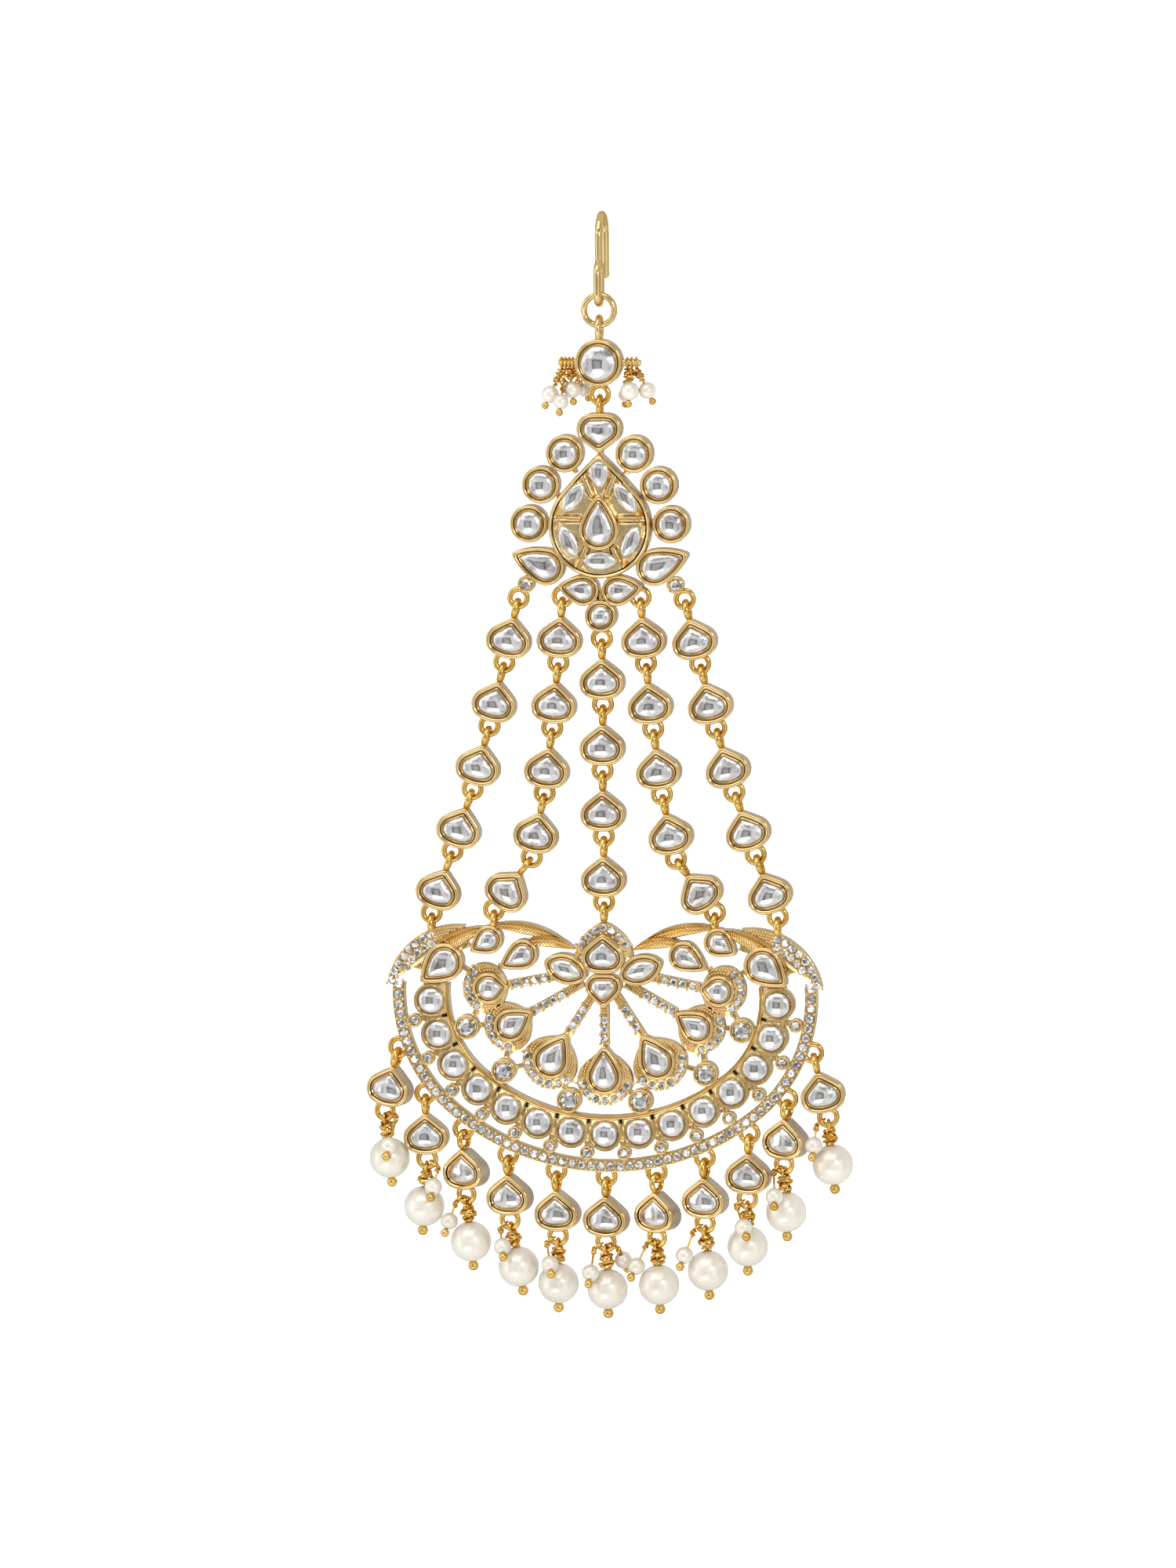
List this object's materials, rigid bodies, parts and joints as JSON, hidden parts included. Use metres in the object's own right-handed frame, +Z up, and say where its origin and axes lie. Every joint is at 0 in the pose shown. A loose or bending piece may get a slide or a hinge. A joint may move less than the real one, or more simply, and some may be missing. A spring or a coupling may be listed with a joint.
{
  "type": "headpiece pendant",
  "caption": "Side headpiece: a hair hook carries a round stud, an almond-shaped crest, strands of teardrop links and a crescent pendant with pearl drops.",
  "frame": {"origin": "inner top of the hook's bend, where the piece hangs in the hair", "axes": "+Z up, +X to the viewer's right, -Y towards the viewer (the stones face -Y)"},
  "size_m": [0.0722, 0.0125, 0.163],
  "materials": {
    "gold": "polished gold-coloured plating",
    "foiled_stone": "clear cut glass over silver foil",
    "brilliant": "clear brilliant cut",
    "pearl": "cream imitation pearl"
  },
  "bodies": {
    "hook": {"hair_hook": "gold"},
    "ring": {"hook_ring": "gold"},
    "stud": {"connector_setting": "gold", "connector_stone": "foiled_stone", "left_cluster_pearls": "pearl", "left_cluster_pins": "gold", "right_cluster_pearls": "pearl", "right_cluster_pins": "gold"},
    "crest": {"crest_frame": "gold", "crest_center_stone": "foiled_stone", "crest_inner_stones": "foiled_stone", "crest_border_stones": "foiled_stone", "crest_brilliants": "brilliant", "strand_1_links": "gold", "strand_2_links": "gold", "strand_3_links": "gold", "strand_4_links": "gold", "strand_5_links": "gold", "strand_1_stones": "foiled_stone", "strand_2_stones": "foiled_stone", "strand_3_stones": "foiled_stone", "strand_4_stones": "foiled_stone", "strand_5_stones": "foiled_stone", "crescent_frame": "gold", "crescent_stones": "foiled_stone", "fan_stones": "foiled_stone", "wing_stones": "foiled_stone", "large_brilliants": "brilliant", "small_brilliants": "brilliant", "drop_01_link": "gold", "drop_02_link": "gold", "drop_03_link": "gold", "drop_04_link": "gold", "drop_05_link": "gold", "drop_06_link": "gold", "drop_07_link": "gold", "drop_08_link": "gold", "drop_09_link": "gold", "drop_10_link": "gold", "drop_11_link": "gold", "drop_01_pearl": "pearl", "drop_02_pearl": "pearl", "drop_03_pearl": "pearl", "drop_04_pearl": "pearl", "drop_05_pearl": "pearl", "drop_06_pearl": "pearl", "drop_07_pearl": "pearl", "drop_08_pearl": "pearl", "drop_09_pearl": "pearl", "drop_10_pearl": "pearl", "drop_11_pearl": "pearl", "drop_stones": "foiled_stone", "drop_pins": "gold", "drop_small_pearls": "pearl", "drop_small_pins": "gold"}
  },
  "joints": [
    {"name": "ring_on_hook", "type": "hinge", "parent": "hook", "child": "ring", "pos_m": [0, -0.00317, -0.0121], "axis": [0, 1, 0], "range_deg": [-30, 30]},
    {"name": "stud_on_ring", "type": "hinge", "parent": "ring", "child": "stud", "pos_m": [0, -0.00317, -0.01533], "axis": [1, 0, 0], "range_deg": [-28, 28]},
    {"name": "crest_on_stud", "type": "hinge", "parent": "stud", "child": "crest", "pos_m": [0, -0.00317, -0.02669], "axis": [1, 0, 0], "range_deg": [-28, 28]}
  ]
}
